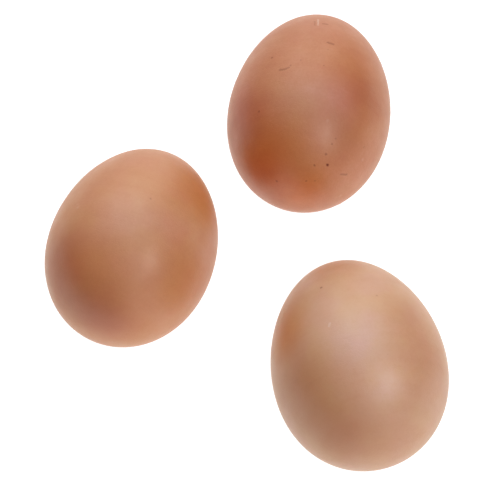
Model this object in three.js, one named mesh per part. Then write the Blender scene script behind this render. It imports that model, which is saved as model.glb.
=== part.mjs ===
// Three loose brown hen's eggs lying on a table, each one a single solid.
// Millimetres, +Z up, the table at Z = 0, +X to the right and +Y away from the front.
import * as THREE from "three";

// Driving dimensions. length and breadth are what a calliper reads across an egg. fullest is how far
// the fullest ring lies from the middle of the length, towards the blunt end. x and y place the
// egg's centre of mass over the table, and turn is where the pointed end looks: degrees from +Y,
// anticlockwise from above.
const EGGS = [
  {
    name: "left_egg",
    length: 55.9,
    breadth: 43.5,
    fullest: 1.9,
    x: -30.5,
    y: -11,
    turn: -17.8,
    shell: 0xc08a66,
  },
  {
    name: "rear_egg",
    length: 58.1,
    breadth: 43.3,
    fullest: 2.3,
    x: 15.9,
    y: 29.8,
    turn: -9.4,
    shell: 0xb87a58,
  },
  {
    name: "right_egg",
    length: 57,
    breadth: 44.6,
    fullest: 2.8,
    x: 27.4,
    y: -45.2,
    turn: 10.5,
    shell: 0xc99c80,
  },
];
const SHELL_ROUGHNESS = 0.5;

// How finely the shells are faceted: bands from pole to pole, and flat sides around.
const BANDS = 32;
const SIDES = 48;

// Half the outline of an egg, from the blunt pole to the pointed one, as (radius, distance along
// the axis). It is Huegelschaeffer's egg curve, which an ellipse becomes as fullest grows from 0.
function eggOutline({ length, breadth, fullest }) {
  const points = [];
  for (let i = 0; i <= BANDS; i++) {
    const angle = (Math.PI * i) / BANDS;
    const along = (-length / 2) * Math.cos(angle);
    const taper = length / Math.sqrt(length ** 2 + 8 * fullest * along + 4 * fullest ** 2);
    points.push(new THREE.Vector2((breadth / 2) * Math.sin(angle) * taper, along));
  }
  return points;
}

// Where the centre of mass of a solid of revolution lies along its axis: each band is a cut cone.
function centreOfMass(outline) {
  let volume = 0;
  let moment = 0;
  for (let i = 1; i < outline.length; i++) {
    const [low, high] = [outline[i - 1], outline[i]];
    const height = high.y - low.y;
    const squares = low.x ** 2 + low.x * high.x + high.x ** 2;
    const share = (low.x ** 2 + 2 * low.x * high.x + 3 * high.x ** 2) / (4 * squares);
    volume += height * squares;
    moment += height * squares * (low.y + height * share);
  }
  return moment / volume;
}

// A convex solid comes to rest on the facet nearest its centre of mass, which is the origin here.
// dip is how far that facet tips the pointed end down, and height is its distance.
function restingFacet(outline) {
  const apothem = Math.cos(Math.PI / SIDES);
  let nearest = { height: Infinity, dip: 0 };
  for (let i = 1; i < outline.length; i++) {
    const [low, high] = [outline[i - 1], outline[i]];
    const rise = (high.x - low.x) * apothem;
    const run = high.y - low.y;
    const height = (low.x * apothem * run - low.y * rise) / Math.hypot(rise, run);
    if (height < nearest.height) nearest = { height, dip: Math.atan2(-rise, run) };
  }
  return nearest;
}

// One egg, on its side on the table. The lathe starts half a side round, so that the middle of a
// side faces straight down.
function layEgg(egg) {
  const outline = eggOutline(egg);
  const centre = centreOfMass(outline);
  for (const point of outline) point.y -= centre;
  const rest = restingFacet(outline);

  const shell = new THREE.Mesh(
    new THREE.LatheGeometry(outline, SIDES, Math.PI / SIDES),
    new THREE.MeshStandardMaterial({ color: egg.shell, roughness: SHELL_ROUGHNESS, metalness: 0 }),
  );
  shell.name = egg.name;
  shell.rotation.x = -rest.dip;
  shell.position.z = rest.height;

  const place = new THREE.Group();
  place.position.set(egg.x, egg.y, 0);
  place.rotation.z = THREE.MathUtils.degToRad(egg.turn);
  place.add(shell);
  return place;
}

// The eggs are placed from a point between them, then moved so that the origin is on the table in
// the middle of the space that they take up.
const eggs = new THREE.Group();
for (const egg of EGGS) eggs.add(layEgg(egg));
eggs.updateMatrixWorld(true);
const middle = new THREE.Box3().setFromObject(eggs, true).getCenter(new THREE.Vector3());
for (const place of eggs.children) {
  place.position.x -= middle.x;
  place.position.y -= middle.y;
}

export default eggs;
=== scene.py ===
# Three loose brown eggs lying on a white table. Blender 4.5, metres, Z up, the table at z = 0.
import math

import bpy
import numpy as np
from mathutils import Matrix, Vector


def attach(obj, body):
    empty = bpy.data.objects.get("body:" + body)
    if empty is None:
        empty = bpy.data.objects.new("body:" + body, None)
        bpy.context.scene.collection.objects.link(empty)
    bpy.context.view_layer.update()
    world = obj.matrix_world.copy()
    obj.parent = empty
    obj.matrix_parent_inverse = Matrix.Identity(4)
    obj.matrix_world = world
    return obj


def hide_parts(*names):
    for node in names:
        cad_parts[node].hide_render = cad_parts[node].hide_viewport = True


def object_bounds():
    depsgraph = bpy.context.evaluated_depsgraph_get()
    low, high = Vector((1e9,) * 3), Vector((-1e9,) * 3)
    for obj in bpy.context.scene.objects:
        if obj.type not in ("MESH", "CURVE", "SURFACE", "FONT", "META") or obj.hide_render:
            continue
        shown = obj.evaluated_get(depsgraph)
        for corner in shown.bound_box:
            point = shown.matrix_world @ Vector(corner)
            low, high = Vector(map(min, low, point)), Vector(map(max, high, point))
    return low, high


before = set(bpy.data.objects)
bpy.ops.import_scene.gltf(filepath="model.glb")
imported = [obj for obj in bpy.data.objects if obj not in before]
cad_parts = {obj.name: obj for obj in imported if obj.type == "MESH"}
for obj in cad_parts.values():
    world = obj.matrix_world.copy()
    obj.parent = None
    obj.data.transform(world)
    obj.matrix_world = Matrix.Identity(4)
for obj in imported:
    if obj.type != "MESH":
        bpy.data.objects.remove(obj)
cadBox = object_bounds()
print("frame loaded:", ", ".join(sorted(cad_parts)))

mm = 0.001
tableMiddle = Vector(((cadBox[0].x + cadBox[1].x) / 2, (cadBox[0].y + cadBox[1].y) / 2, 0))


# Node helpers. An input is a plain value or the output socket of another node.

def addNode(tree, kind, inputs=None, **settings):
    node = tree.nodes.new(kind)
    for name, value in settings.items():
        setattr(node, name, value)
    for name, value in (inputs or {}).items():
        if isinstance(value, bpy.types.NodeSocket):
            tree.links.new(value, node.inputs[name])
        else:
            node.inputs[name].default_value = value
    return node


def maths(tree, operation, *values, clamp=False):
    node = addNode(tree, "ShaderNodeMath", dict(enumerate(values)), operation=operation, use_clamp=clamp)
    return node.outputs[0]


def vectors(tree, operation, *values):
    node = addNode(tree, "ShaderNodeVectorMath", dict(enumerate(values)), operation=operation)
    return node.outputs["Value" if operation in ("LENGTH", "DISTANCE", "DOT_PRODUCT") else "Vector"]


def scaled(tree, vector, factor):
    node = addNode(tree, "ShaderNodeVectorMath", {"Vector": vector, "Scale": factor}, operation="SCALE")
    return node.outputs["Vector"]


def spread(tree, value, low, high, newLow=0.0, newHigh=1.0):
    # a smooth step from newLow to newHigh while value goes from low to high
    inputs = {"Value": value, "From Min": low, "From Max": high, "To Min": newLow, "To Max": newHigh}
    return addNode(tree, "ShaderNodeMapRange", inputs, interpolation_type="SMOOTHSTEP").outputs["Result"]


def cloudy(tree, place, size, seed, detail=2.0, roughness=0.5):
    # noise that swings about 0, mostly within -1 and 1, with features about size across
    inputs = {"Vector": place, "W": seed, "Scale": 1 / size, "Detail": detail, "Roughness": roughness}
    noise = addNode(tree, "ShaderNodeTexNoise", inputs, noise_dimensions="4D").outputs["Fac"]
    return maths(tree, "MULTIPLY_ADD", noise, 5.0, -2.5)


def mixed(tree, factor, first, second, blend="MIX"):
    inputs = {0: factor, 6: first, 7: second}
    return addNode(tree, "ShaderNodeMix", inputs, data_type="RGBA", blend_type=blend).outputs[2]


leastRadius = 0.001      # stands in for no radius at all, which can't be divided by
scatteredEdge = 0.6      # the share of a scattered dot's radius over which it fades


def dots(tree, place, spacing, share, radius):
    # soft round marks, none larger than radius, in a share of the cells of a loose honeycomb
    cells = addNode(
        tree, "ShaderNodeTexVoronoi",
        {"Vector": place, "Scale": maths(tree, "DIVIDE", 1.0, spacing)}).outputs
    luck = addNode(tree, "ShaderNodeSeparateXYZ", {0: cells["Color"]}).outputs["X"]
    dotRadius = spread(tree, luck, 1 - share, 1.0, leastRadius, radius)
    fromMiddle = maths(tree, "MULTIPLY", cells["Distance"], spacing)
    inside = maths(tree, "SUBTRACT", 1.0, maths(tree, "DIVIDE", fromMiddle, dotRadius), clamp=True)
    return spread(tree, inside, 0.0, scatteredEdge)


# The egg's own space: Y runs from the blunt pole to the pointed one, Z is up, the origin is halfway.

def measureEgg(node):
    # length, breadth and fullest ring of the CAD egg, and where it lies, from its own vertices
    points = np.array([vertex.co for vertex in node.data.vertices], float)
    onePole = points[np.linalg.norm(points - points.mean(0), axis=1).argmax()]
    otherPole = points[np.linalg.norm(points - onePole, axis=1).argmax()]
    middle = (onePole + otherPole) / 2
    length = np.linalg.norm(otherPole - onePole)
    axis = (otherPole - onePole) / length
    along = (points - middle) @ axis
    radius = np.linalg.norm(points - middle - np.outer(along, axis), axis=1)
    if along[radius.argmax()] > 0:      # the fullest ring is on the blunt side
        axis, along = -axis, -along

    # On the egg curve, (length**2 - 4 * along**2) / radius**2 is a straight line along the axis.
    ring = radius > length / 10
    slope, level = np.polyfit(along[ring], (length**2 - 4 * along[ring] ** 2) / radius[ring] ** 2, 1)
    lean = slope / level
    fullest = (1 - math.sqrt(1 - (lean * length / 2) ** 2)) / lean
    breadth = math.sqrt(4 * (length**2 + 4 * fullest**2) / level)

    forward = Vector(axis)
    side = forward.cross(Vector((0, 0, 1))).normalized()
    place = Matrix((side, forward, side.cross(forward))).transposed().to_4x4()
    place.translation = Vector(middle)
    return {"length": float(length), "breadth": breadth, "fullest": fullest, "place": place}


def shellPoint(size, along, around):
    # a point on the shell, in mm: along from the middle, around from the top towards the right
    length, breadth, fullest = (size[name] / mm for name in ("length", "breadth", "fullest"))
    radius = breadth / 2 * math.sqrt(
        (length**2 - 4 * along**2) / (length**2 + 8 * fullest * along + 4 * fullest**2))
    turn = math.radians(around)
    return (radius * math.sin(turn), along, radius * math.cos(turn))


# The shell's shape. A cube's grid is blown up to a sphere, which puts no pinched pole on either end,
# and the sphere is drawn out by the egg curve. Sizes are in mm.

shellShape = {
    "grid": 129,             # points along each side of the cube
    "swellSize": 26.0,       # how wide the swells out of round are
    "rippleSize": 2.6,
    "gritShare": 0.4,        # the share of the grit's cells that hold a grain
    "gritRadius": 0.75,
    "gritShift": (37.0, 11.0, 23.0),     # times the seed, so that no two eggs share their grit
}


def eggTree():
    tree = bpy.data.node_groups.new("egg shell", "GeometryNodeTree")
    tree.interface.new_socket("Geometry", in_out="OUTPUT", socket_type="NodeSocketGeometry")
    for name, kind in (
        ("Grid", "Int"),
        ("Length", "Float"),
        ("Breadth", "Float"),
        ("Fullest", "Float"),
        ("Out of round", "Float"),
        ("Ripple", "Float"),
        ("Grit height", "Float"),
        ("Grit spacing", "Float"),
        ("Seed", "Float"),
        ("Shell", "Material"),
    ):
        tree.interface.new_socket(name, in_out="INPUT", socket_type="NodeSocket" + kind)
    given = tree.nodes.new("NodeGroupInput").outputs
    grid, length, breadth, fullest = (given[name] for name in ("Grid", "Length", "Breadth", "Fullest"))

    cubeSides = {"Size": (2, 2, 2), "Vertices X": grid, "Vertices Y": grid, "Vertices Z": grid}
    cube = addNode(tree, "GeometryNodeMeshCube", cubeSides).outputs["Mesh"]
    onCube = tree.nodes.new("GeometryNodeInputPosition").outputs["Position"]
    evened = vectors(tree, "TANGENT", scaled(tree, onCube, math.pi / 4))
    onSphere = addNode(tree, "ShaderNodeSeparateXYZ", {0: vectors(tree, "NORMALIZE", evened)}).outputs

    along = maths(tree, "MULTIPLY", onSphere["Y"], maths(tree, "MULTIPLY", length, 0.5))
    lean = maths(tree, "MULTIPLY", maths(tree, "MULTIPLY", fullest, 8.0), along)
    squares = maths(
        tree, "ADD", maths(tree, "MULTIPLY", length, length),
        maths(tree, "MULTIPLY", maths(tree, "MULTIPLY", fullest, fullest), 4.0))
    taper = maths(tree, "DIVIDE", length, maths(tree, "SQRT", maths(tree, "ADD", squares, lean)))
    halfRing = maths(tree, "MULTIPLY", maths(tree, "MULTIPLY", breadth, 0.5), taper)
    onEgg = addNode(tree, "ShaderNodeCombineXYZ", {
        "X": maths(tree, "MULTIPLY", onSphere["X"], halfRing),
        "Y": along,
        "Z": maths(tree, "MULTIPLY", onSphere["Z"], halfRing),
    }).outputs[0]
    egg = addNode(tree, "GeometryNodeSetPosition", {"Geometry": cube, "Position": onEgg}).outputs[0]

    # The place on the perfect egg, in mm, is kept for the pigment and the grit to follow.
    shellSpace = scaled(tree, tree.nodes.new("GeometryNodeInputPosition").outputs["Position"], 1 / mm)
    egg = addNode(
        tree, "GeometryNodeStoreNamedAttribute",
        {"Geometry": egg, "Name": "shellSpace", "Value": shellSpace},
        data_type="FLOAT_VECTOR", domain="POINT").outputs[0]

    # A few grains of chalk stand on the shell.
    spacing = maths(tree, "DIVIDE", given["Grit spacing"], mm)
    shifted = vectors(tree, "ADD", shellSpace, scaled(tree, shellShape["gritShift"], given["Seed"]))
    grit = dots(tree, shifted, spacing, shellShape["gritShare"], shellShape["gritRadius"])
    egg = addNode(
        tree, "GeometryNodeStoreNamedAttribute",
        {"Geometry": egg, "Name": "grit", "Value": grit},
        data_type="FLOAT", domain="POINT").outputs[0]

    swell = cloudy(tree, shellSpace, shellShape["swellSize"], given["Seed"])
    swell = maths(tree, "MULTIPLY", swell, given["Out of round"])
    ripple = cloudy(tree, shellSpace, shellShape["rippleSize"], given["Seed"])
    ripple = maths(tree, "MULTIPLY", ripple, given["Ripple"])
    grains = maths(tree, "MULTIPLY", grit, given["Grit height"])
    height = maths(tree, "ADD", maths(tree, "ADD", swell, ripple), grains)
    normal = tree.nodes.new("GeometryNodeInputNormal").outputs["Normal"]
    raised = scaled(tree, normal, height)
    egg = addNode(tree, "GeometryNodeSetPosition", {"Geometry": egg, "Offset": raised}).outputs[0]

    egg = addNode(tree, "GeometryNodeSetShadeSmooth", {"Geometry": egg}).outputs[0]
    egg = addNode(tree, "GeometryNodeRealizeInstances", {"Geometry": egg}).outputs[0]
    shell = given["Shell"]
    egg = addNode(tree, "GeometryNodeSetMaterial", {"Geometry": egg, "Material": shell}).outputs[0]
    addNode(tree, "NodeGroupOutput", {"Geometry": egg})
    return tree


def layEgg(name, tree, size, look, material):
    # runs the tree on an empty mesh, keeps the result as a plain mesh and lays it where the CAD egg is
    carrier = bpy.data.objects.new("carrier", bpy.data.meshes.new("carrier"))
    bpy.context.scene.collection.objects.link(carrier)
    modifier = carrier.modifiers.new("egg shell", "NODES")
    modifier.node_group = tree
    values = {
        "Grid": shellShape["grid"],
        "Length": size["length"],
        "Breadth": size["breadth"],
        "Fullest": size["fullest"],
        "Out of round": look["outOfRound"] * mm,
        "Ripple": look["ripple"] * mm,
        "Grit height": look["gritHeight"] * mm,
        "Grit spacing": look["gritSpacing"] * mm,
        "Seed": look["seed"],
        "Shell": material,
    }
    for socket in tree.interface.items_tree:
        if socket.in_out == "INPUT":
            modifier[socket.identifier] = values[socket.name]

    evaluated = carrier.evaluated_get(bpy.context.evaluated_depsgraph_get())
    mesh = bpy.data.meshes.new_from_object(evaluated)
    carrier.modifiers.remove(modifier)
    bpy.data.objects.remove(carrier)

    mesh.name = name
    mesh.materials.pop(index=0)      # the cube's own slot, which is empty
    mesh.transform(size["place"])
    lowest = min(vertex.co.z for vertex in mesh.vertices)
    mesh.transform(Matrix.Translation((0, 0, -lowest)))
    egg = bpy.data.objects.new(name, mesh)
    bpy.context.scene.collection.objects.link(egg)
    return egg


# The shell's finish. Sizes of marks are in mm, because the shell's own space is.

shellFinish = {
    "roughness": 0.48,
    "density": 1.6,          # index of refraction, which is calcite's
    "gloss": 0.85,           # specular level
    "bloom": 0.22,           # the dusty skin on a fresh shell, which pales it at a glancing angle
    "bloomSpread": 0.2,      # sheen roughness: a low one keeps the bloom to the very rim
    "bloomTint": (1.0, 0.88, 0.72, 1),   # the dust and the gloss are both a little warm
    "glossTint": (1.0, 0.96, 0.86, 1),
    "roughnessSwing": 0.05,
    "poreSize": 0.42,        # from one pore to the next
    "poreDepth": 0.018,
    "poreWidth": 0.55,       # against the way from one pore to the next
    "grainSize": 0.55,
    "grainRelief": 0.25,     # against the depth of a pore
    "ringWidth": 1.3,
    "ringWander": 0.06,      # how much a ring changes on its way round: 0 keeps it true
    "driftSize": 9.0,        # how wide the warm and the cool places are
    "driftSwing": 0.9,       # a lower one makes them meet more sharply
    "raggedSize": 0.4,       # how fine the ragged edge of a mark is, and how far it strays
    "raggedReach": 0.55,
    "markDullness": 0.45,    # what a full mark adds to the roughness
    "translucence": 0.20,
    "lightReach": 1.6,       # how far light wanders inside the shell
    "scatter": (1.0, 0.45, 0.25),        # how far red, green and blue do, against lightReach
    "chalk": (0.80, 0.66, 0.55, 1),
    "gritChalk": 0.10,       # how pale the raised grains are
}

# What a full-strength wash does to the colour under it. The umber hue paints shade, and the ash, milk
# and blush hues paint the pale of a highlight.
hues = {
    "russet": (1.00, 0.82, 0.62, 1),
    # painted shade
    "painted_shade_umber": (0.86, 0.70, 0.56, 1),
    "ochre": (1.00, 0.94, 0.72, 1),
    "rose": (0.96, 0.92, 1.04, 1),
    # this hue and the next two paint the pale of a highlight
    "painted_highlight_ash": (0.97, 1.08, 1.30, 1),
    "painted_highlight_milk": (1.10, 1.13, 1.28, 1),
    "painted_highlight_blush": (1.10, 1.03, 1.36, 1),
    "apricot": (1.14, 1.04, 0.80, 1),
}


def near(tree, place, centre, inner, outer):
    # 1 within inner of the centre, 0 past outer
    return spread(tree, vectors(tree, "DISTANCE", place, centre), inner, outer, 1.0, 0.0)


dotEdge = (0.35, 1.35)   # where a placed dot starts to fade and where it ends, against its radius


def dot(tree, place, centre, radius):
    return near(tree, place, centre, dotEdge[0] * radius, dotEdge[1] * radius)


def stroke(tree, place, start, end, radius):
    # a short line from start to end, soft at its edges
    run = Vector(end) - Vector(start)
    fromStart = vectors(tree, "SUBTRACT", place, start)
    alongRun = vectors(tree, "DOT_PRODUCT", fromStart, tuple(run))
    share = maths(tree, "DIVIDE", alongRun, run.length_squared, clamp=True)
    return dot(tree, fromStart, scaled(tree, tuple(run), share), radius)


def shellMaterial(name, size, look):
    material = bpy.data.materials.new(name)
    material.use_nodes = True
    tree = material.node_tree
    tree.nodes.clear()
    seed = float(look["seed"])
    place = addNode(tree, "ShaderNodeAttribute", attribute_name="shellSpace").outputs["Vector"]
    grit = addNode(tree, "ShaderNodeAttribute", attribute_name="grit").outputs["Fac"]

    # How deep the brown is, 0 to 1: broad clouds, blotches, fine grain and faint rings round the axis,
    # left as the egg turned while it was being coloured.
    clouds = cloudy(tree, place, look["cloudSize"], seed, detail=1.0)
    blotches = cloudy(tree, place, look["blotchSize"], seed + 3, detail=4.0, roughness=0.6)
    grain = cloudy(tree, place, shellFinish["grainSize"], seed + 5, roughness=0.6)
    wander = shellFinish["ringWander"]
    ringSpace = vectors(tree, "MULTIPLY", place, (wander, 1.0, wander))
    rings = cloudy(tree, ringSpace, shellFinish["ringWidth"], seed + 7, detail=3.0, roughness=0.6)
    depth = maths(tree, "MULTIPLY_ADD", clouds, look["clouds"], look["depth"])
    depth = maths(tree, "MULTIPLY_ADD", blotches, look["blotches"], depth)
    depth = maths(tree, "MULTIPLY_ADD", grain, look["grain"], depth)
    depth = maths(tree, "MULTIPLY_ADD", rings, look["rings"], depth)
    for along, around, reach, strength in look["flushes"]:
        flush = near(tree, place, shellPoint(size, along, around), 0.0, reach)
        depth = maths(tree, "MULTIPLY_ADD", flush, strength, depth)
    ramp = addNode(tree, "ShaderNodeValToRGB", {"Fac": depth})
    pale, mid, deep = (look[shade] for shade in ("pale", "mid", "deep"))
    ramp.color_ramp.elements[0].color = pale
    ramp.color_ramp.elements[1].color = deep
    ramp.color_ramp.elements.new(0.5).color = mid
    colour = ramp.outputs["Color"]

    # Warmer in one place, cooler in another.
    swing = shellFinish["driftSwing"]
    drift = spread(tree, cloudy(tree, place, shellFinish["driftSize"], seed + 11), -swing, swing)
    warmed = mixed(tree, 1.0, colour, look["warmDrift"], "MULTIPLY")
    cooled = mixed(tree, 1.0, colour, look["coolDrift"], "MULTIPLY")
    colour = mixed(tree, drift, warmed, cooled)

    # Washes of another hue, laid where listed. The umber ones paint shade, and the ash, milk and blush
    # ones paint the pale of a highlight.
    # Washes of another hue, laid where listed. The umber ones paint shade, and the ash, milk and blush
    # ones paint the pale of a highlight.
    for along, around, reach, hue, strength in look["washesAndPaintedLight"]:
        wash = near(tree, place, shellPoint(size, along, around), 0.0, reach)
        colour = mixed(tree, maths(tree, "MULTIPLY", wash, strength), colour, hues[hue], "MULTIPLY")

    # Marks: scattered pepper, and the listed specks and dashes.
    fineness = {"Vector": place, "Scale": 1 / shellFinish["raggedSize"], "Detail": 2.0}
    ragged = addNode(tree, "ShaderNodeTexNoise", fineness).outputs["Color"]
    offset = vectors(tree, "SUBTRACT", ragged, (0.5, 0.5, 0.5))
    speckSpace = vectors(tree, "ADD", place, scaled(tree, offset, shellFinish["raggedReach"]))
    marks = 0.0
    for spacing, share, radius, strength in look["pepper"]:
        grains = maths(tree, "MULTIPLY", dots(tree, speckSpace, spacing, share, radius), strength)
        marks = maths(tree, "MAXIMUM", marks, grains)
    for along, around, radius, strength in look["specks"]:
        speck = dot(tree, speckSpace, shellPoint(size, along, around), radius)
        marks = maths(tree, "MAXIMUM", marks, maths(tree, "MULTIPLY", speck, strength))
    for start, end, radius, strength in look["dashes"]:
        dash = stroke(tree, speckSpace, shellPoint(size, *start), shellPoint(size, *end), radius)
        marks = maths(tree, "MAXIMUM", marks, maths(tree, "MULTIPLY", dash, strength))
    colour = mixed(tree, marks, colour, look["speckColour"])

    # Chalk: the raised grains, and the listed pale nicks.
    chalk = maths(tree, "MULTIPLY", grit, shellFinish["gritChalk"])
    for start, end, radius, strength in look["nicks"]:
        nick = stroke(tree, speckSpace, shellPoint(size, *start), shellPoint(size, *end), radius)
        chalk = maths(tree, "MAXIMUM", chalk, maths(tree, "MULTIPLY", nick, strength))
    colour = mixed(tree, chalk, colour, shellFinish["chalk"])

    # Pores are tiny pits, and the grain of the pigment lifts the surface a little.
    honeycomb = {"Vector": place, "Scale": 1 / shellFinish["poreSize"]}
    fromPore = addNode(tree, "ShaderNodeTexVoronoi", honeycomb).outputs["Distance"]
    pits = spread(tree, fromPore, 0.0, shellFinish["poreWidth"])
    relief = maths(tree, "MULTIPLY_ADD", grain, shellFinish["grainRelief"], pits)
    bump = addNode(tree, "ShaderNodeBump", {
        "Strength": 1.0, "Distance": shellFinish["poreDepth"] * mm, "Height": relief}).outputs["Normal"]
    roughness = maths(
        tree, "MULTIPLY_ADD", blotches, shellFinish["roughnessSwing"], shellFinish["roughness"])
    roughness = maths(tree, "MULTIPLY_ADD", marks, shellFinish["markDullness"], roughness)

    surface = addNode(tree, "ShaderNodeBsdfPrincipled", {
        "Base Color": colour,
        "Roughness": roughness,
        "IOR": shellFinish["density"],
        "Specular IOR Level": shellFinish["gloss"],
        "Sheen Weight": shellFinish["bloom"],
        "Sheen Roughness": shellFinish["bloomSpread"],
        "Sheen Tint": shellFinish["bloomTint"],
        "Specular Tint": shellFinish["glossTint"],
        "Normal": bump,
        "Subsurface Weight": shellFinish["translucence"],
        "Subsurface Radius": shellFinish["scatter"],
        "Subsurface Scale": shellFinish["lightReach"] * mm,
    })
    addNode(tree, "ShaderNodeOutputMaterial", {"Surface": surface.outputs[0]})
    return material


# Each egg's own looks. A place on a shell is along, in mm from the middle towards the pointed end, and
# around, in degrees from the top towards the right.
#   flush: along, around, reach, how much deeper the brown is
#   wash: along, around, reach, hue, strength (umber ones paint shade; ash, milk and blush ones paint the
#       pale of a highlight)
#   pepper: spacing, share of the cells that hold a dot, largest radius, strength
#   speck: along, around, radius, strength
#   dash, which is dark, and nick, which is pale: (along, around) of each end, radius, strength

leftEgg = {
    "node": "left_egg",
    "slot": "left_shell",
    "seed": 4,
    "outOfRound": 0.06,
    "ripple": 0.005,
    "gritHeight": 0.05,
    "gritSpacing": 5.0,
    "pale": (0.660, 0.299, 0.136, 1),
    "mid": (0.606, 0.232, 0.089, 1),
    "deep": (0.512, 0.159, 0.047, 1),
    "warmDrift": (1.0, 1.0, 0.92, 1),
    "coolDrift": (1.0, 0.95, 1.0, 1),
    "depth": 0.5,
    "cloudSize": 24.0,
    "clouds": 0.08,
    "blotchSize": 5.0,
    "blotches": 0.08,
    "grain": 0.06,
    "rings": 0.04,
    "flushes": [],
    # The umber washes paint shade, and the ash, milk and blush washes paint the pale of the highlights.
    "washesAndPaintedLight": [
        (-26, -12, 14, "painted_shade_umber", 0.9),
        (-19, -58, 15, "painted_shade_umber", 1.0),
        (-27, 10, 11, "painted_shade_umber", 0.6),
        (-25, -50, 11, "painted_shade_umber", 0.8),
        (-10, -60, 11, "ochre", 0.8),
        (-27, 32, 11, "russet", 0.5),
        (12, 56, 10, "ochre", 0.8),
        (-25, 80, 9, "ochre", 0.7),
        (-5, 8, 15, "painted_highlight_ash", 1.0),
        (-6, 4, 12, "painted_highlight_ash", 0.6),
        (0, 38, 12, "painted_highlight_ash", 1.0),
        (-14, 28, 9, "painted_shade_umber", 0.3),
        (-15, -48, 12, "painted_shade_umber", 0.8),
        (-19, -50, 11, "russet", 0.6),
        (-26, -5, 11, "painted_shade_umber", 0.5),
        (-27, 37, 10, "painted_shade_umber", 0.5),
        (-26, 78, 10, "painted_shade_umber", 0.4),
        (-5, 8, 13, "painted_highlight_milk", 0.7),
        (-1, 38, 11, "painted_highlight_milk", 1.0),
    ],
    "pepper": [(4.0, 0.18, 0.30, 0.25)],
    "specks": [
        (2.0, 11, 0.30, 0.35),
    ],
    "dashes": [],
    "nicks": [],
    "speckColour": (0.22, 0.04, 0.008, 1),
}

rearEgg = {
    "node": "rear_egg",
    "slot": "rear_shell",
    "seed": 9,
    "outOfRound": 0.06,
    "ripple": 0.006,
    "gritHeight": 0.06,
    "gritSpacing": 5.0,
    "pale": (0.628, 0.239, 0.105, 1),
    "mid": (0.547, 0.172, 0.053, 1),
    "deep": (0.475, 0.111, 0.028, 1),
    "warmDrift": (1.0, 1.0, 0.92, 1),
    "coolDrift": (1.0, 0.95, 1.0, 1),
    "depth": 0.5,
    "cloudSize": 22.0,
    "clouds": 0.10,
    "blotchSize": 4.5,
    "blotches": 0.11,
    "grain": 0.09,
    "rings": 0.05,
    "flushes": [
        (-19.5, -50, 9.0, 0.10),
    ],
    # The umber washes paint shade, and the ash, milk and blush washes paint the pale of the highlights.
    "washesAndPaintedLight": [
        (-12, -52, 13, "painted_shade_umber", 0.9),
        (-12, -54, 12, "russet", 0.9),
        (-25, -50, 13, "russet", 1.0),
        (-25, -12, 14, "ochre", 1.0),
        (-28, -20, 10, "ochre", 0.9),
        (-28, 30, 10, "ochre", 0.8),
        (-14, -60, 11, "ochre", 1.0),
        (-8, 22, 13, "painted_highlight_ash", 1.0),
        (-11, -3, 13, "painted_highlight_ash", 0.8),
        (-17, 35, 10, "rose", 0.7),
        (-3, 46, 11, "painted_shade_umber", 0.7),
        (-29, 60, 9, "ochre", 0.8),
        (-17, 18, 9, "painted_shade_umber", 0.7),
        (-8, 25, 11, "painted_highlight_ash", 1.0),
        (2, 0, 14, "painted_shade_umber", 0.2),
        (-13, -51, 13, "russet", 0.8),
        (-3, -59, 11, "russet", 0.8),
        (-27, -55, 10, "russet", 0.7),
        (-22, -48, 11, "ochre", 0.9),
        (-26, -15, 12, "ochre", 0.6),
        (-12, -4, 12, "painted_highlight_ash", 0.8),
        (-8, 23, 12, "painted_highlight_blush", 0.9),
        (-16, 35, 10, "painted_highlight_ash", 0.8),
        (-29, 61, 10, "apricot", 1.0),
        (-4, 44, 9, "painted_shade_umber", 0.3),
    ],
    "pepper": [(3.2, 0.25, 0.32, 0.35)],
    "specks": [
        (-24.0, 37, 0.44, 1.00),
        (-25.0, 23, 0.32, 0.60),
        (-22.4, 29, 0.36, 0.50),
        (-20.0, 30, 0.30, 0.45),
        (-18.6, 31, 0.34, 0.35),
        (-27.5, 23, 0.32, 0.40),
        (-27.0, 37, 0.28, 0.35),
        (-27.7, -42, 0.38, 0.45),
        (-14.0, -37, 0.35, 0.45),
        (2.0, -31, 0.36, 0.45),
        (-1.6, -15, 0.28, 0.30),
        (-16.0, 60, 0.30, 0.30),
    ],
    "dashes": [
        ((-23.7, 60), (-22.9, 66), 0.34, 0.35),
        ((-2.9, -22), (-2.9, -19), 0.40, 0.40),
        ((-2.9, -19), (-2.3, -16), 0.34, 0.35),
        ((8.2, 8), (8.1, 12), 0.42, 0.40),
        ((16.6, 1.2), (16.8, 5.5), 0.28, 0.42),
        ((15.2, -5.2), (17.6, -6.8), 0.28, 0.22),
    ],
    "nicks": [
        ((15.4, -2.5), (19.0, -4.5), 0.28, 0.28),
    ],
    "speckColour": (0.17, 0.014, 0.002, 1),
}

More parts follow.
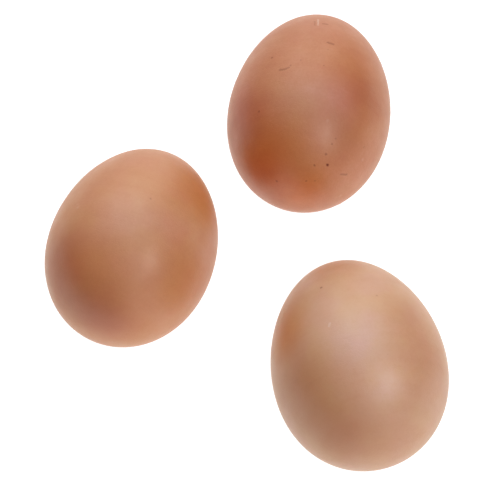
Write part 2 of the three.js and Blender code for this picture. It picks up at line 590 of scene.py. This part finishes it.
rightEgg = {
    "node": "right_egg",
    "slot": "right_shell",
    "seed": 15,
    "outOfRound": 0.06,
    "ripple": 0.005,
    "gritHeight": 0.05,
    "gritSpacing": 6.0,
    "pale": (0.681, 0.393, 0.247, 1),
    "mid": (0.633, 0.331, 0.190, 1),
    "deep": (0.546, 0.240, 0.105, 1),
    "warmDrift": (1.0, 1.0, 0.92, 1),
    "coolDrift": (1.0, 0.96, 1.0, 1),
    "depth": 0.5,
    "cloudSize": 24.0,
    "clouds": 0.08,
    "blotchSize": 5.0,
    "blotches": 0.08,
    "grain": 0.06,
    "rings": 0.04,
    "flushes": [],
    # The umber washes paint shade, and the ash, milk and blush washes paint the pale of the highlights.
    "washesAndPaintedLight": [
        (4, -55, 11, "russet", 1.0),
        (3, -56, 11, "painted_shade_umber", 0.5),
        (-11, -58, 16, "painted_shade_umber", 1.0),
        (-12, -56, 11, "painted_shade_umber", 0.5),
        (-24, -58, 16, "painted_shade_umber", 1.0),
        (-24, -56, 11, "painted_shade_umber", 0.5),
        (-27, 0, 13, "painted_shade_umber", 0.3),
        (-6, -3, 13, "painted_highlight_ash", 1.0),
        (-10, 53, 11, "painted_shade_umber", 0.8),
        (1, 38, 9, "painted_shade_umber", 0.4),
        (-19, 11, 7, "painted_highlight_ash", 0.6),
        (12, -42, 9, "painted_shade_umber", 0.3),
        (-27, -60, 11, "painted_shade_umber", 0.5),
        (-22, -54, 10, "painted_shade_umber", 0.3),
        (-6, -4, 12, "painted_highlight_milk", 0.8),
        (-19, 11, 10, "painted_highlight_milk", 0.8),
        (0, 37, 11, "painted_shade_umber", 0.3),
        (-28, 42, 11, "painted_shade_umber", 0.4),
    ],
    "pepper": [(5.0, 0.15, 0.28, 0.25)],
    "specks": [
        (12.6, -21, 0.40, 0.70),
        (6.0, 16, 0.30, 0.30),
    ],
    "dashes": [],
    "nicks": [
        ((-0.2, -19), (-0.8, -20), 0.32, 0.30),
    ],
    "speckColour": (0.26, 0.06, 0.015, 1),
}


def makeEggs():
    tree = eggTree()
    rests = []      # where each egg touches the table, and which way its pointed end looks
    for look in (leftEgg, rearEgg, rightEgg):
        node = look["node"]
        size = measureEgg(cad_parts[node])
        material = shellMaterial(look["slot"].replace("_", " ") + " finish", size, look)
        egg = layEgg(node + "_shell", tree, size, look, material)
        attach(egg, "root")
        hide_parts(node)
        print(f"{node}: {size['length'] / mm:.1f} x {size['breadth'] / mm:.1f} mm,"
              f" {len(egg.data.polygons)} faces")
        lowest = min(egg.data.vertices, key=lambda vertex: vertex.co.z)
        forward = size["place"].col[1]
        rests.append((lowest.co.copy(), Vector((forward.x, forward.y, 0)).normalized()))
    return rests


# The set: a white table whose middle glows, as a light table does, so that shadows stay faint. The
# glow is dimmed under each egg, which paints a contact shadow there.

whiteTable = {
    "across": 30.0,
    "white": (0.25, 0.25, 0.25, 1),
    "glow": 1.00,
    "farGlow": 0.60,
    "glowStarts": 0.15,      # from the middle, where the glow begins to fade
    "glowEnds": 1.50,
    # the painted contact shadow: the glow is dimmed in an oval under each egg, darkest where it touches
    "shade": 0.12,           # what is left of the glow where an egg touches the table
    "shadeAcross": 14.0,     # how far the dimming reaches, in mm, across the egg and along it
    "shadeAlong": 19.0,
}


def tableMaterial(rests):
    material = bpy.data.materials.new("table white")
    material.use_nodes = True
    tree = material.node_tree
    tree.nodes.clear()
    place = addNode(tree, "ShaderNodeTexCoord").outputs["Object"]
    fromMiddle = vectors(tree, "DISTANCE", place, tuple(tableMiddle))
    glow = spread(
        tree, fromMiddle, whiteTable["glowStarts"], whiteTable["glowEnds"],
        whiteTable["glow"], whiteTable["farGlow"])
    # A painted contact shadow: the glow is dimmed in an oval under each egg.
    for touch, forward in rests:
        away = vectors(tree, "SUBTRACT", place, tuple(touch))
        side = Vector((forward.y, -forward.x, 0))
        across = vectors(tree, "DOT_PRODUCT", away, tuple(side / (whiteTable["shadeAcross"] * mm)))
        along = vectors(tree, "DOT_PRODUCT", away, tuple(forward / (whiteTable["shadeAlong"] * mm)))
        offset = addNode(tree, "ShaderNodeCombineXYZ", {"X": across, "Y": along}).outputs[0]
        shade = spread(tree, vectors(tree, "LENGTH", offset), 0.0, 1.0, whiteTable["shade"], 1.0)
        glow = maths(tree, "MULTIPLY", glow, shade)
    surface = addNode(tree, "ShaderNodeBsdfPrincipled", {
        "Base Color": whiteTable["white"],
        "Roughness": 0.7,
        "Specular IOR Level": 0.2,
        "Emission Color": (1, 1, 1, 1),
        "Emission Strength": glow,
    })
    addNode(tree, "ShaderNodeOutputMaterial", {"Surface": surface.outputs[0]})
    return material


def makeTable(rests):
    half = whiteTable["across"] / 2
    mesh = bpy.data.meshes.new("table")
    corners = [(-half, -half, 0), (half, -half, 0), (half, half, 0), (-half, half, 0)]
    mesh.from_pydata(corners, [], [(0, 1, 2, 3)])
    mesh.materials.append(tableMaterial(rests))
    table = bpy.data.objects.new("table", mesh)
    bpy.context.scene.collection.objects.link(table)


# Soft boxes: turn is degrees clockwise from the back, height is degrees above the table, halfWidth is
# how many degrees the box reaches to each side, and brightness is against a white of 1.

softBoxes = {
    "back box": {"turn": 5, "height": 30, "halfWidth": 30, "distance": 1.3, "brightness": 1.40},
    "back left box": {"turn": -45, "height": 35, "halfWidth": 25, "distance": 1.3, "brightness": 0.93},
    "top box": {"turn": 0, "height": 62, "halfWidth": 25, "distance": 1.3, "brightness": 1.06},
    "overhead box": {"turn": 180, "height": 75, "halfWidth": 20, "distance": 1.3, "brightness": 0.80},
    "right box": {"turn": 80, "height": 65, "halfWidth": 18, "distance": 1.3, "brightness": 0.22},
    "side box": {"turn": 124, "height": 53, "halfWidth": 11, "distance": 0.6, "brightness": 6.79},
    "front box": {"turn": 150, "height": 25, "halfWidth": 25, "distance": 1.3, "brightness": 0.79},
    "low box": {"turn": 205, "height": 20, "halfWidth": 20, "distance": 1.3, "brightness": 0.33},
}
studioAir = 0.03


def makeLights():
    for name, box in softBoxes.items():
        radius = box["distance"] * math.tan(math.radians(box["halfWidth"]))
        light = bpy.data.lights.new(name, "AREA")
        light.shape = "DISK"
        light.size = 2 * radius
        light.energy = box["brightness"] * math.pi * (math.pi * radius**2)   # brightness, spread, area
        turn, height = math.radians(box["turn"]), math.radians(box["height"])
        towards = Vector((
            math.sin(turn) * math.cos(height), math.cos(turn) * math.cos(height), math.sin(height)))
        lamp = bpy.data.objects.new(name, light)
        lamp.location = tableMiddle + towards * box["distance"]
        lamp.rotation_euler = towards.to_track_quat("Z", "Y").to_euler()
        lamp.visible_camera = False
        bpy.context.scene.collection.objects.link(lamp)


def makeAir():
    world = bpy.data.worlds.new("studio air")
    world.use_nodes = True
    air = world.node_tree.nodes["Background"].inputs
    air["Color"].default_value = (1, 1, 1, 1)
    air["Strength"].default_value = studioAir
    bpy.context.scene.world = world


# A long lens looks down on the table from the front. aimRight and aimBack are where it aims, from
# the middle of the table. Sizes are in mm.

tableCamera = {
    "height": 62.0,          # degrees above the table
    "distance": 674.4,
    "lens": 180.0,
    "film": 36.0,
    "aimRight": 1.47,
    "aimBack": 6.49,
}


def makeCamera():
    camera = bpy.data.cameras.new("camera")
    camera.lens = tableCamera["lens"]
    camera.sensor_width = tableCamera["film"]
    height = math.radians(tableCamera["height"])
    back = Vector((0, -math.cos(height), math.sin(height)))
    stand = bpy.data.objects.new("camera", camera)
    aim = tableMiddle + Vector((tableCamera["aimRight"], tableCamera["aimBack"], 0)) * mm
    stand.location = aim + back * tableCamera["distance"] * mm
    stand.rotation_euler = (math.pi / 2 - height, 0, 0)
    bpy.context.scene.collection.objects.link(stand)
    bpy.context.scene.camera = stand


makeCamera()
eggRests = makeEggs()
print("eggs laid")
makeTable(eggRests)
makeLights()
makeAir()
bpy.context.scene.view_settings.view_transform = "Standard"
print("set lit")
